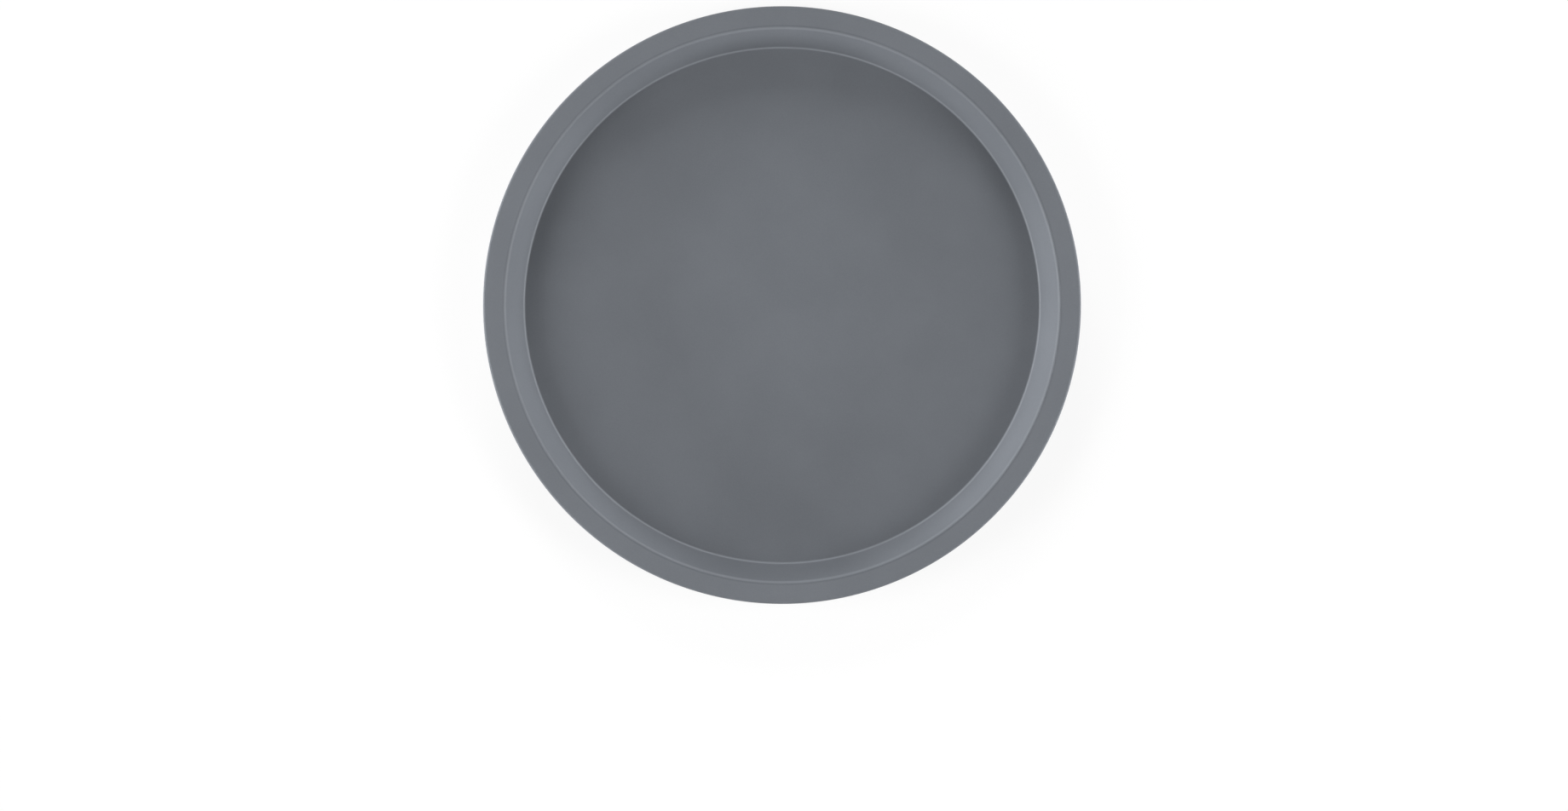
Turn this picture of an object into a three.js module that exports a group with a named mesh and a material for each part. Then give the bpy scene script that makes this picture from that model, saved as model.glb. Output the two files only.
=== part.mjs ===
// Round pizza pan: one pressed steel sheet with a curled edge, lined on its baking face and coated on its other face.
// Millimetres, +Z up. The origin is the centre of the base, on the surface that the pan stands on.
import * as THREE from "three";

// Driving dimensions
const OVERALL_DIAMETER = 330; // across the curled edge
const FLOOR_DIAMETER = 284; // the flat of the floor, inside the bend
const HEIGHT = 19; // from the table to the crest at the top of the wall
const WALL_LEAN = 28; // degrees from upright
const SHEET_THICKNESS = 0.6;
const LINING_THICKNESS = 0.04;
const COAT_THICKNESS = 0.03;
const BOND_GAP = 0.005; // between the sheet and each layer on it
const FLOOR_BEND_RADIUS = 1.6; // on the baking face, like the two radii below
const CREST_RADIUS = 1.8;
const RIM_BEND_RADIUS = 1.4;
const RIM_DROP = 0.1; // how far the rim starts below the crest
const RIM_SLOPE = 1.8; // degrees that the rim falls towards its edge
const CURL_HEIGHT = 2.5;
const CURL_TURN = 270; // degrees

// Facets
const FACETS_AROUND = 48;
const FACET_TURN = 30; // the most that one facet turns along the profile, in degrees

// Materials
const STEEL = new THREE.MeshStandardMaterial({ color: 0x9a9c9e, roughness: 0.35, metalness: 1 });
const LINING = new THREE.MeshStandardMaterial({ color: 0x696c72, roughness: 0.42, metalness: 0.1 });
const COAT = new THREE.MeshStandardMaterial({ color: 0x696c72, roughness: 0.46, metalness: 0.1 });

// The outer faces of the lining and the coat, measured up from the baking face of the sheet
const LINING_FACE = BOND_GAP + LINING_THICKNESS;
const COAT_FACE = -SHEET_THICKNESS - BOND_GAP - COAT_THICKNESS;

// A walk along the baking face of the sheet, in radius and height, that keeps each point and the way its face looks
class SheetPath {
  constructor(radius, height) {
    this.at = new THREE.Vector2(radius, height);
    this.heading = 0;
    this.stations = [];
    this.mark();
  }

  get across() {
    return new THREE.Vector2(-Math.sin(this.heading), Math.cos(this.heading));
  }

  mark() {
    this.stations.push({ at: this.at.clone(), across: this.across });
  }

  straight(length) {
    this.at.x += length * Math.cos(this.heading);
    this.at.y += length * Math.sin(this.heading);
    this.mark();
  }

  // A turn above zero bends the sheet up, and one below zero bends it down
  bend(radius, turn) {
    const reach = radius * Math.sign(turn);
    const centre = this.at.clone().addScaledVector(this.across, reach);
    const facets = Math.ceil(Math.abs(turn) / FACET_TURN);
    for (let facet = 0; facet < facets; facet += 1) {
      this.heading += THREE.MathUtils.degToRad(turn / facets);
      this.at = centre.clone().addScaledVector(this.across, -reach);
      this.mark();
    }
  }
}

// The sheet from the axis to its cut edge: floor, wall, crest, rim and curl
function sheetPath() {
  const wallRise = 90 - WALL_LEAN;
  const wallRiseRadians = THREE.MathUtils.degToRad(wallRise);
  const bendHeight = (FLOOR_BEND_RADIUS + CREST_RADIUS) * (1 - Math.cos(wallRiseRadians));
  const floorHeight = -COAT_FACE;
  const wallHeight = HEIGHT - LINING_FACE - floorHeight - bendHeight;
  const rimSlopeRadians = THREE.MathUtils.degToRad(RIM_SLOPE);
  const fallHeight = CREST_RADIUS + RIM_BEND_RADIUS * Math.cos(rimSlopeRadians) - RIM_DROP;
  const rimFall = THREE.MathUtils.radToDeg(Math.acos(fallHeight / (CREST_RADIUS + RIM_BEND_RADIUS)));
  const curlRadius = CURL_HEIGHT / 2 - LINING_FACE;
  const curlCentre = OVERALL_DIAMETER / 2 - CURL_HEIGHT / 2;
  const rimEnd = curlCentre + curlRadius * Math.sin(rimSlopeRadians);

  const path = new SheetPath(0, floorHeight);
  path.straight(FLOOR_DIAMETER / 2);
  path.bend(FLOOR_BEND_RADIUS, wallRise);
  path.straight(wallHeight / Math.sin(wallRiseRadians));
  path.bend(CREST_RADIUS, -wallRise);
  path.bend(CREST_RADIUS, -rimFall);
  path.bend(RIM_BEND_RADIUS, rimFall - RIM_SLOPE);
  path.straight((rimEnd - path.at.x) / Math.cos(rimSlopeRadians));
  path.bend(curlRadius, RIM_SLOPE - CURL_TURN);
  return path;
}

// One layer of the sheet, between two heights above its baking face
function layer(name, material, path, lower, upper) {
  const face = (height) => path.stations.map(({ at, across }) => at.clone().addScaledVector(across, height));
  const profile = [...face(lower), ...face(upper).reverse()];
  const geometry = new THREE.LatheGeometry(profile, FACETS_AROUND);
  geometry.rotateX(Math.PI / 2);
  const mesh = new THREE.Mesh(geometry, material);
  mesh.name = name;
  return mesh;
}

const path = sheetPath();
const pan = new THREE.Group();
pan.name = "pizza_pan";
pan.add(layer("pressed_steel_pan", STEEL, path, -SHEET_THICKNESS, 0));
pan.add(layer("nonstick_lining", LINING, path, BOND_GAP, LINING_FACE));
pan.add(layer("outer_coat", COAT, path, COAT_FACE, -SHEET_THICKNESS - BOND_GAP));

export default pan;
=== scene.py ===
"""Looks of a round pizza pan: the forms of its three layers, their finishes, the light and the camera."""

import math

import bpy
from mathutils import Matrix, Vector


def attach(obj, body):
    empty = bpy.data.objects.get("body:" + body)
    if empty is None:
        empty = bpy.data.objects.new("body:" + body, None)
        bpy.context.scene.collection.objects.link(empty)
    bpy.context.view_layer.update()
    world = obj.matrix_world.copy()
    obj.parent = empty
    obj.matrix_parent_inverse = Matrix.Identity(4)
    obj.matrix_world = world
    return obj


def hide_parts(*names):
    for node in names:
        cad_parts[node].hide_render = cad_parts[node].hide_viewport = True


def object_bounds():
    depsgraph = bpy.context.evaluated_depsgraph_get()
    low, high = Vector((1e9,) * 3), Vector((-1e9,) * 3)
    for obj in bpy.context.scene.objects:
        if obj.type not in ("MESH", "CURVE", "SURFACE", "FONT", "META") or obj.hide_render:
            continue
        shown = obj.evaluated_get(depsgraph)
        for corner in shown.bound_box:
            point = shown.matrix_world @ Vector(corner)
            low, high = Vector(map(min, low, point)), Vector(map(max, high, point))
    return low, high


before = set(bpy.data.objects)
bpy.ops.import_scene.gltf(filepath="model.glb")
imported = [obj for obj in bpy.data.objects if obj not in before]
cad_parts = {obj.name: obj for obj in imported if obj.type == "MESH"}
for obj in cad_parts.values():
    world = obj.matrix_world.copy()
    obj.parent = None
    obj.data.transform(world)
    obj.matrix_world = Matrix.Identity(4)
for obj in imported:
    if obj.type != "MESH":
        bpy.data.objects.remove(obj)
cad_low, cad_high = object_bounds()

# Sizes, in metres and radians
MM = 0.001
OVERALL_RADIUS = (cad_high.x - cad_low.x) / 2
HEIGHT = cad_high.z - cad_low.z
FLOOR_RADIUS = 142 * MM
WALL_LEAN = math.radians(28)
SHEET_THICKNESS = 0.6 * MM
LINING_THICKNESS = 0.04 * MM
COAT_THICKNESS = 0.03 * MM
BOND_GAP = 0.005 * MM
FLOOR_BEND_RADIUS = 1.6 * MM
CREST_RADIUS = 1.8 * MM
RIM_BEND_RADIUS = 1.4 * MM
RIM_DROP = 0.1 * MM
RIM_SLOPE = math.radians(1.8)
CURL_HEIGHT = 2.5 * MM
CURL_TURN = math.radians(270)

# The outer faces of the lining and the coat, measured up from the baking face of the sheet
LINING_FACE = BOND_GAP + LINING_THICKNESS
COAT_FACE = -SHEET_THICKNESS - BOND_GAP - COAT_THICKNESS

# Facets
FACETS_AROUND = 240
FACET_TURN = math.radians(6)
FLOOR_FACETS = 24
WALL_FACETS = 8
RIM_FACETS = 6
STAGE_SIDES = 64
SHARP_ANGLE = math.radians(40)

# Painted light and wear on each bend of the films: paler above 0, darker below it. The floor bend has a painted
# highlight, the crest a painted highlight and wear, the hollow painted shade and the curl wear
FLOOR_BEND_PAINTED_HIGHLIGHT = 1
CREST_WEAR_AND_PAINTED_HIGHLIGHT = 0.5
HOLLOW_PAINTED_SHADE = -0.4
CURL_RUB = 0.3

# What both films share
FILM_IOR = 1.35
RUB_SMOOTHING = 0.05
CLOUD_ROUGHNESS = 0.02
FLECK_HEIGHT = 0.3

# The range that most of a noise texture's values lie in
NOISE_LOW = 0.3
NOISE_HIGH = 0.7

# The photograph's frame and the pan's widest circle in it, in pixels
FRAME_WIDTH = 1840
FRAME_HEIGHT = 952
PAN_CENTRE_X = 917.7
PAN_CENTRE_Y = 358.1
PAN_RADIUS = 350.9

# The camera, in millimetres
SENSOR_WIDTH = 36
LENS = 200

# Shares of full white: what a shadow can take from the floor, what the floor throws back, and the fill
SHADOW_DEPTH = 0.14
STAGE_BOUNCE = 0.15
WORLD_FILL = 0.02

# The studio, in metres
STAGE_RADIUS = 30
SHADOW_FADE_START = 0.2
SHADOW_FADE_END = 0.6
SIDE_LAMP_DISTANCE = 2
SOFTBOX_SIZE = (1.0, 0.8)
STRIP_SIZE = (1.0, 0.3)


class SheetPath:
    """A walk along the baking face of the sheet that keeps each point, the way its face looks, and its painted
    light and wear.
    """

    def __init__(self, height):
        self.at = Vector((0, height))
        self.heading = 0
        self.stations = []
        self.mark(0)

    def across(self):
        return Vector((-math.sin(self.heading), math.cos(self.heading)))

    def mark(self, painted_light_and_wear):
        self.stations.append((self.at.copy(), self.across(), painted_light_and_wear))

    def straight(self, length, facets):
        step = Vector((math.cos(self.heading), math.sin(self.heading))) * length / facets
        for _ in range(facets):
            self.at += step
            self.mark(0)

    def bend(self, radius, turn, painted_light_and_wear):
        """Bends up where the turn is above zero, and down where it is below. The painted light and wear fade
        out at both ends.
        """
        reach = math.copysign(radius, turn)
        centre = self.at + self.across() * reach
        facets = math.ceil(abs(turn) / FACET_TURN)
        for facet in range(facets):
            self.heading += turn / facets
            self.at = centre - self.across() * reach
            self.mark(painted_light_and_wear * math.sin(math.pi * (facet + 1) / facets))


def sheet_path():
    """The sheet from the axis to its cut edge: floor, wall, crest, rim and curl."""
    wall_rise = math.pi / 2 - WALL_LEAN
    bend_height = (FLOOR_BEND_RADIUS + CREST_RADIUS) * (1 - math.cos(wall_rise))
    floor_height = -COAT_FACE
    wall_height = HEIGHT - LINING_FACE - floor_height - bend_height
    fall_height = CREST_RADIUS + RIM_BEND_RADIUS * math.cos(RIM_SLOPE) - RIM_DROP
    rim_fall = math.acos(fall_height / (CREST_RADIUS + RIM_BEND_RADIUS))
    curl_radius = CURL_HEIGHT / 2 - LINING_FACE
    curl_centre = OVERALL_RADIUS - CURL_HEIGHT / 2
    rim_end = curl_centre + curl_radius * math.sin(RIM_SLOPE)

    path = SheetPath(floor_height)
    path.straight(FLOOR_RADIUS, FLOOR_FACETS)
    # The floor bend gets a painted highlight.
    path.bend(FLOOR_BEND_RADIUS, wall_rise, FLOOR_BEND_PAINTED_HIGHLIGHT)
    path.straight(wall_height / math.sin(wall_rise), WALL_FACETS)
    # The crest gets a painted highlight along with its wear.
    path.bend(CREST_RADIUS, -wall_rise, CREST_WEAR_AND_PAINTED_HIGHLIGHT)
    # The hollow between the crest and the rim gets painted shade.
    path.bend(CREST_RADIUS, -rim_fall, HOLLOW_PAINTED_SHADE)
    path.bend(RIM_BEND_RADIUS, rim_fall - RIM_SLOPE, HOLLOW_PAINTED_SHADE)
    path.straight((rim_end - path.at.x) / math.cos(RIM_SLOPE), RIM_FACETS)
    path.bend(curl_radius, RIM_SLOPE - CURL_TURN, CURL_RUB)
    return path


def lathe(name, profile, painted_lights_and_wear):
    """A closed mesh of a profile that starts and ends on the axis, turned about Z, with the painted light and
    wear of each point.
    """
    points = []
    point_painted_lights_and_wear = []
    rings = []
    for (radius, height), painted_light_and_wear in zip(profile, painted_lights_and_wear):
        if radius == 0:
            rings.append([len(points)] * FACETS_AROUND)
            points.append((0, 0, height))
            point_painted_lights_and_wear.append(painted_light_and_wear)
            continue
        rings.append(range(len(points), len(points) + FACETS_AROUND))
        for facet in range(FACETS_AROUND):
            angle = math.tau * facet / FACETS_AROUND
            points.append((radius * math.cos(angle), radius * math.sin(angle), height))
            point_painted_lights_and_wear.append(painted_light_and_wear)
    faces = []
    for ring, following in zip(rings, rings[1:]):
        for facet in range(FACETS_AROUND):
            beside = (facet + 1) % FACETS_AROUND
            corners = (ring[facet], ring[beside], following[beside], following[facet])
            faces.append(list(dict.fromkeys(corners)))
    mesh = bpy.data.meshes.new(name)
    mesh.from_pydata(points, [], faces)
    mesh.shade_smooth()
    mesh.set_sharp_from_angle(angle=SHARP_ANGLE)
    # Each point's painted highlight and wear on bends, and painted shade in the hollow, for the films' colour.
    mesh.attributes.new("painted_light_and_wear", "FLOAT", "POINT").data.foreach_set("value", point_painted_lights_and_wear)
    return mesh


def layer(name, path, lower, upper):
    """One layer of the sheet, between two heights above its baking face."""
    under = [at + across * lower for at, across, _ in path.stations]
    over = [at + across * upper for at, across, _ in path.stations]
    painted_lights_and_wear = [painted_light_and_wear for _, _, painted_light_and_wear in path.stations]
    mesh = lathe(name, under + over[::-1], painted_lights_and_wear + painted_lights_and_wear[::-1])
    piece = bpy.data.objects.new(name, mesh)
    bpy.context.scene.collection.objects.link(piece)
    return piece


class Nodes:
    """A material's node tree, with short ways to add to it."""

    def __init__(self, name):
        self.material = bpy.data.materials.new(name)
        self.material.use_nodes = True
        self.tree = self.material.node_tree
        self.shader = self.tree.nodes["Principled BSDF"]
        self.place = self.tree.nodes.new("ShaderNodeTexCoord").outputs["Object"]

    def link(self, output, node, socket):
        self.tree.links.new(output, node.inputs[socket])

    def noise(self, scale, detail, stretch=None):
        texture = self.tree.nodes.new("ShaderNodeTexNoise")
        texture.inputs["Scale"].default_value = scale
        texture.inputs["Detail"].default_value = detail
        place = self.place
        if stretch:
            mapping = self.tree.nodes.new("ShaderNodeMapping")
            mapping.inputs["Scale"].default_value = stretch
            self.link(place, mapping, "Vector")
            place = mapping.outputs["Vector"]
        self.link(place, texture, "Vector")
        return texture.outputs["Fac"]

    def spread(self, noise, low, high):
        """A noise's usual range, stretched to go from low to high."""
        stretched = self.tree.nodes.new("ShaderNodeMapRange")
        stretched.inputs["From Min"].default_value = NOISE_LOW
        stretched.inputs["From Max"].default_value = NOISE_HIGH
        stretched.inputs["To Min"].default_value = low
        stretched.inputs["To Max"].default_value = high
        self.link(noise, stretched, "Value")
        return stretched.outputs["Result"]

    def scaled(self, value, factor):
        product = self.tree.nodes.new("ShaderNodeMath")
        product.operation = "MULTIPLY"
        product.inputs[1].default_value = factor
        self.link(value, product, 0)
        return product.outputs["Value"]

    def total(self, *values):
        running = values[0]
        for value in values[1:]:
            addition = self.tree.nodes.new("ShaderNodeMath")
            addition.operation = "ADD"
            self.link(running, addition, 0)
            self.link(value, addition, 1)
            running = addition.outputs["Value"]
        return running

    def attribute(self, name):
        reader = self.tree.nodes.new("ShaderNodeAttribute")
        reader.attribute_name = name
        return reader.outputs["Fac"]

    def tint(self, value, dark, pale):
        """A colour that goes from a dark one at 0 to a pale one at 1, and on in both directions."""
        mix = self.tree.nodes.new("ShaderNodeMix")
        mix.data_type = "RGBA"
        mix.clamp_factor = False
        mix.inputs["A"].default_value = (*dark, 1)
        mix.inputs["B"].default_value = (*pale, 1)
        self.link(value, mix, "Factor")
        return next(output for output in mix.outputs if output.type == "RGBA")

    def bump(self, height, depth):
        relief = self.tree.nodes.new("ShaderNodeBump")
        relief.inputs["Distance"].default_value = depth
        relief.inputs["Strength"].default_value = 1
        self.link(height, relief, "Height")
        self.link(relief.outputs["Normal"], self.shader, "Normal")


def film_material(name, dark, pale, painted_light_and_wear_gain, smoothest, roughest, peel_depth):
    """A sprayed satin film: clouds, flecks and an orange-peel skin, paler where bends have painted highlights
    and wear, and darker where the hollow has painted shade.
    """
    nodes = Nodes(name)
    clouds = nodes.noise(scale=22, detail=3)
    flecks = nodes.noise(scale=1900, detail=1)
    peel = nodes.noise(scale=620, detail=2)
    painted_light_and_wear = nodes.attribute("painted_light_and_wear")

    cloud_tone = nodes.spread(clouds, low=0.1, high=0.6)
    fleck_tone = nodes.spread(flecks, low=-0.15, high=0.25)
    # Painted highlights and wear lighten the film on bends, and painted shade darkens it in the hollow.
    tone = nodes.total(cloud_tone, fleck_tone, nodes.scaled(painted_light_and_wear, painted_light_and_wear_gain))
    nodes.link(nodes.tint(tone, dark, pale), nodes.shader, "Base Color")

    peel_roughness = nodes.spread(peel, low=smoothest, high=roughest)
    cloud_roughness = nodes.spread(clouds, low=-CLOUD_ROUGHNESS, high=CLOUD_ROUGHNESS)
    roughness = nodes.total(peel_roughness, cloud_roughness, nodes.scaled(painted_light_and_wear, -RUB_SMOOTHING))
    nodes.link(roughness, nodes.shader, "Roughness")

    nodes.bump(nodes.total(peel, nodes.scaled(flecks, FLECK_HEIGHT)), peel_depth)
    nodes.shader.inputs["IOR"].default_value = FILM_IOR
    return nodes.material


def lining_material():
    """The film on the baking face, the paler and smoother one."""
    return film_material(
        "nonstick_film",
        dark=(0.126, 0.136, 0.151),
        pale=(0.150, 0.161, 0.178),
        painted_light_and_wear_gain=2.8,
        smoothest=0.34,
        roughest=0.42,
        peel_depth=0.012 * MM,
    )


def coat_material():
    """The film on the other face, a little darker and rougher."""
    return film_material(
        "outer_film",
        dark=(0.108, 0.117, 0.131),
        pale=(0.130, 0.141, 0.157),
        painted_light_and_wear_gain=2.3,
        smoothest=0.40,
        roughest=0.48,
        peel_depth=0.016 * MM,
    )


def steel_material():
    """Bare cold-rolled sheet with fine rolling lines along X."""
    nodes = Nodes("bare_sheet_steel")
    lines = nodes.noise(scale=400, detail=4, stretch=(0.04, 1, 1))
    clouds = nodes.noise(scale=60, detail=3)
    tone = nodes.spread(clouds, low=0, high=1)
    colour = nodes.tint(tone, dark=(0.46, 0.47, 0.48), pale=(0.56, 0.57, 0.58))
    nodes.link(colour, nodes.shader, "Base Color")
    nodes.shader.inputs["Metallic"].default_value = 1
    nodes.link(nodes.spread(lines, low=0.26, high=0.42), nodes.shader, "Roughness")
    nodes.bump(lines, depth=0.006 * MM)
    return nodes.material


def dress(piece, material, node):
    """Gives a piece its finish, and puts it in the place of a CAD node."""
    piece.data.materials.append(material)
    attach(piece, "root")
    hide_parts(node)


def make_pan():
    """The sheet, its lining and its outer coat, each in the place of its CAD node."""
    path = sheet_path()
    sheet = layer("pan_sheet", path, -SHEET_THICKNESS, 0)
    lining = layer("pan_lining", path, BOND_GAP, LINING_FACE)
    coat = layer("pan_outer_coat", path, COAT_FACE, -SHEET_THICKNESS - BOND_GAP)
    dress(sheet, steel_material(), "pressed_steel_pan")
    dress(lining, lining_material(), "nonstick_lining")
    dress(coat, coat_material(), "outer_coat")


def larger(tree, first, second):
    maximum = tree.nodes.new("ShaderNodeMath")
    maximum.operation = "MAXIMUM"
    tree.links.new(first, maximum.inputs[0])
    tree.links.new(second, maximum.inputs[1])
    return maximum.outputs["Value"]


def seen_white(tree):
    """1 for the rays that show the background, 0 for the rays that light the object."""
    rays = tree.nodes.new("ShaderNodeLightPath").outputs
    mirrored = larger(tree, rays["Is Glossy Ray"], rays["Is Transmission Ray"])
    return larger(tree, rays["Is Camera Ray"], mirrored)


def mixed(tree, share, first, second):
    """The first shader where the share is 0, and the second one where it is 1."""
    mix = tree.nodes.new("ShaderNodeMixShader")
    tree.links.new(share, mix.inputs["Fac"])
    tree.links.new(first, mix.inputs[1])
    tree.links.new(second, mix.inputs[2])
    return mix.outputs["Shader"]


def glowing(tree, strength):
    glow = tree.nodes.new("ShaderNodeEmission")
    glow.inputs["Strength"].default_value = strength
    return glow.outputs["Emission"]


def painted(tree, grey):
    paint = tree.nodes.new("ShaderNodeBsdfDiffuse")
    paint.inputs["Color"].default_value = (grey, grey, grey, 1)
    return paint.outputs["BSDF"]


def shadow_fade(tree):
    """0 round the pan, where the floor shows its shadow, and 1 farther out."""
    place = tree.nodes.new("ShaderNodeTexCoord")
    reach = tree.nodes.new("ShaderNodeVectorMath")
    reach.operation = "LENGTH"
    tree.links.new(place.outputs["Object"], reach.inputs[0])
    fade = tree.nodes.new("ShaderNodeMapRange")
    fade.interpolation_type = "SMOOTHSTEP"
    fade.inputs["From Min"].default_value = SHADOW_FADE_START
    fade.inputs["From Max"].default_value = SHADOW_FADE_END
    tree.links.new(reach.outputs["Value"], fade.inputs["Value"])
    return fade.outputs["Result"]


def floor_material():
    """White where it is seen, with a pale shadow round the pan, and dim where it lights the pan."""
    material = bpy.data.materials.new("white_floor")
    material.use_nodes = True
    tree = material.node_tree
    tree.nodes.clear()
    shaded = tree.nodes.new("ShaderNodeAddShader")
    tree.links.new(glowing(tree, 1 - SHADOW_DEPTH), shaded.inputs[0])
    tree.links.new(painted(tree, SHADOW_DEPTH), shaded.inputs[1])
    white = mixed(tree, shadow_fade(tree), shaded.outputs["Shader"], glowing(tree, 1))
    surface = mixed(tree, seen_white(tree), painted(tree, STAGE_BOUNCE), white)
    out = tree.nodes.new("ShaderNodeOutputMaterial")
    tree.links.new(surface, out.inputs["Surface"])
    return material


def make_floor():
    """A wide white disc that the pan stands on, and that isn't part of it."""
    corners = []
    for side in range(STAGE_SIDES):
        angle = math.tau * side / STAGE_SIDES
        corners.append((STAGE_RADIUS * math.cos(angle), STAGE_RADIUS * math.sin(angle), 0))
    mesh = bpy.data.meshes.new("studio_floor")
    mesh.from_pydata(corners, [], [range(STAGE_SIDES)])
    mesh.materials.append(floor_material())
    floor = bpy.data.objects.new("studio_floor", mesh)
    bpy.context.scene.collection.objects.link(floor)


def sky(tree, strength):
    background = tree.nodes.new("ShaderNodeBackground")
    background.inputs["Color"].default_value = (1, 1, 1, 1)
    background.inputs["Strength"].default_value = strength
    return background.outputs["Background"]


def make_world():
    """White where it is seen, and a dim fill where it lights the pan."""
    world = bpy.data.worlds.new("studio")
    world.use_nodes = True
    tree = world.node_tree
    tree.nodes.clear()
    surface = mixed(tree, seen_white(tree), sky(tree, WORLD_FILL), sky(tree, 1))
    out = tree.nodes.new("ShaderNodeOutputWorld")
    tree.links.new(surface, out.inputs["Surface"])
    bpy.context.scene.world = world


def softbox(name, azimuth, elevation, distance, size, level, shines=False):
    """A soft lamp that looks at the pan. Its level is the share of full white that it gives a white floor."""
    turn = math.radians(azimuth)
    rise = math.radians(elevation)
    lamp = bpy.data.lights.new(name, "AREA")
    lamp.shape = "RECTANGLE"
    lamp.size, lamp.size_y = size
    lamp.energy = level * math.pi**2 * distance**2 / math.sin(rise)
    holder = bpy.data.objects.new(name, lamp)
    toward = Vector((math.cos(turn) * math.cos(rise), math.sin(turn) * math.cos(rise), math.sin(rise)))
    holder.location = toward * distance
    holder.rotation_euler = toward.to_track_quat("Z", "Y").to_euler()
    holder.visible_camera = False
    holder.visible_glossy = shines
    bpy.context.scene.collection.objects.link(holder)


def side_lamps(side, azimuth, strip_azimuth, box_level, strip_level):
    """Three lamps in a column. Only the top one shows in the film, as lower ones would glare off the rim."""
    far = SIDE_LAMP_DISTANCE
    softbox(side + "_top", azimuth, elevation=40, distance=far, size=SOFTBOX_SIZE, level=0.10, shines=True)
    softbox(side + "_softbox", azimuth, elevation=30, distance=far, size=SOFTBOX_SIZE, level=box_level)
    softbox(side + "_strip", strip_azimuth, elevation=7, distance=far, size=STRIP_SIZE, level=strip_level)


def make_lights():
    """A column of lamps on each side, and one lamp behind."""
    side_lamps("left", azimuth=190, strip_azimuth=195, box_level=0.231, strip_level=0.158)
    side_lamps("right", azimuth=350, strip_azimuth=345, box_level=0.216, strip_level=0.136)
    softbox("back_softbox", azimuth=100, elevation=18, distance=4, size=(2.0, 1.6), level=0.265)


def make_camera():
    """Straight above the pan, where its widest circle has the photograph's place and size in the frame."""
    camera = bpy.data.cameras.new("camera")
    camera.sensor_width = SENSOR_WIDTH
    camera.lens = LENS
    metres_per_pixel = OVERALL_RADIUS / PAN_RADIUS
    distance = LENS / SENSOR_WIDTH * FRAME_WIDTH * metres_per_pixel
    widest = HEIGHT - CURL_HEIGHT / 2
    holder = bpy.data.objects.new("camera", camera)
    holder.location = (
        (FRAME_WIDTH / 2 - PAN_CENTRE_X) * metres_per_pixel,
        (PAN_CENTRE_Y - FRAME_HEIGHT / 2) * metres_per_pixel,
        widest + distance,
    )
    bpy.context.scene.collection.objects.link(holder)
    bpy.context.scene.camera = holder


bpy.context.scene.view_settings.view_transform = "Standard"
make_camera()
make_pan()
make_floor()
make_world()
make_lights()
